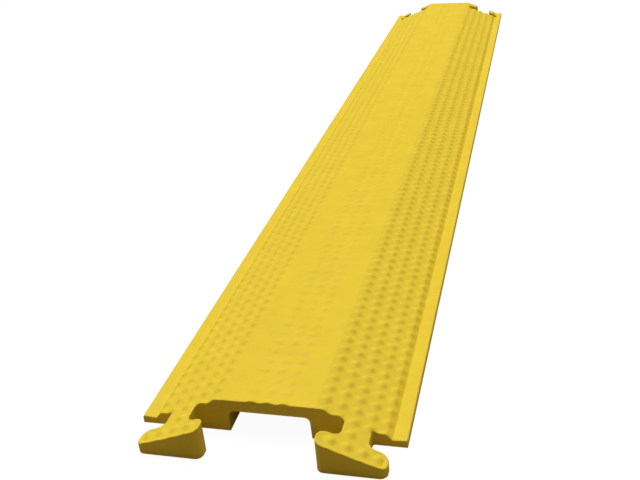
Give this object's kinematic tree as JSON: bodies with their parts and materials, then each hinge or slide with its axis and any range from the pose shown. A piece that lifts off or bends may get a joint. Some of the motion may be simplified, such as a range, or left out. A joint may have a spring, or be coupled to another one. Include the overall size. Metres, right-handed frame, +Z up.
{
  "type": "cable protector ramp",
  "caption": "Low drop-over ramp with a covered channel for a cable along its length, studded sloping sides, thin edge strips, and interlocking lugs and sockets at its ends.",
  "frame": {"origin": "at ground level, in the middle of the overall length and of the width", "axes": "+X across the ramp to the right side, +Y along the channel from the lug end to the socket end, +Z up"},
  "size_m": [0.146, 0.9386, 0.0212],
  "materials": {
    "yellow_polyurethane": "safety-yellow polyurethane, coloured all through, satin as it left the mould, faintly mottled"
  },
  "bodies": {
    "root": {"deck": "yellow_polyurethane", "left_channel_wall": "yellow_polyurethane", "right_channel_wall": "yellow_polyurethane", "left_ramp": "yellow_polyurethane", "right_ramp": "yellow_polyurethane", "left_edge_strip": "yellow_polyurethane", "right_edge_strip": "yellow_polyurethane", "left_connector_lug": "yellow_polyurethane", "right_connector_lug": "yellow_polyurethane", "left_connector_socket": "yellow_polyurethane", "right_connector_socket": "yellow_polyurethane", "left_tread_studs": "yellow_polyurethane", "right_tread_studs": "yellow_polyurethane", "deck_tread_studs": "yellow_polyurethane"}
  },
  "joints": []
}
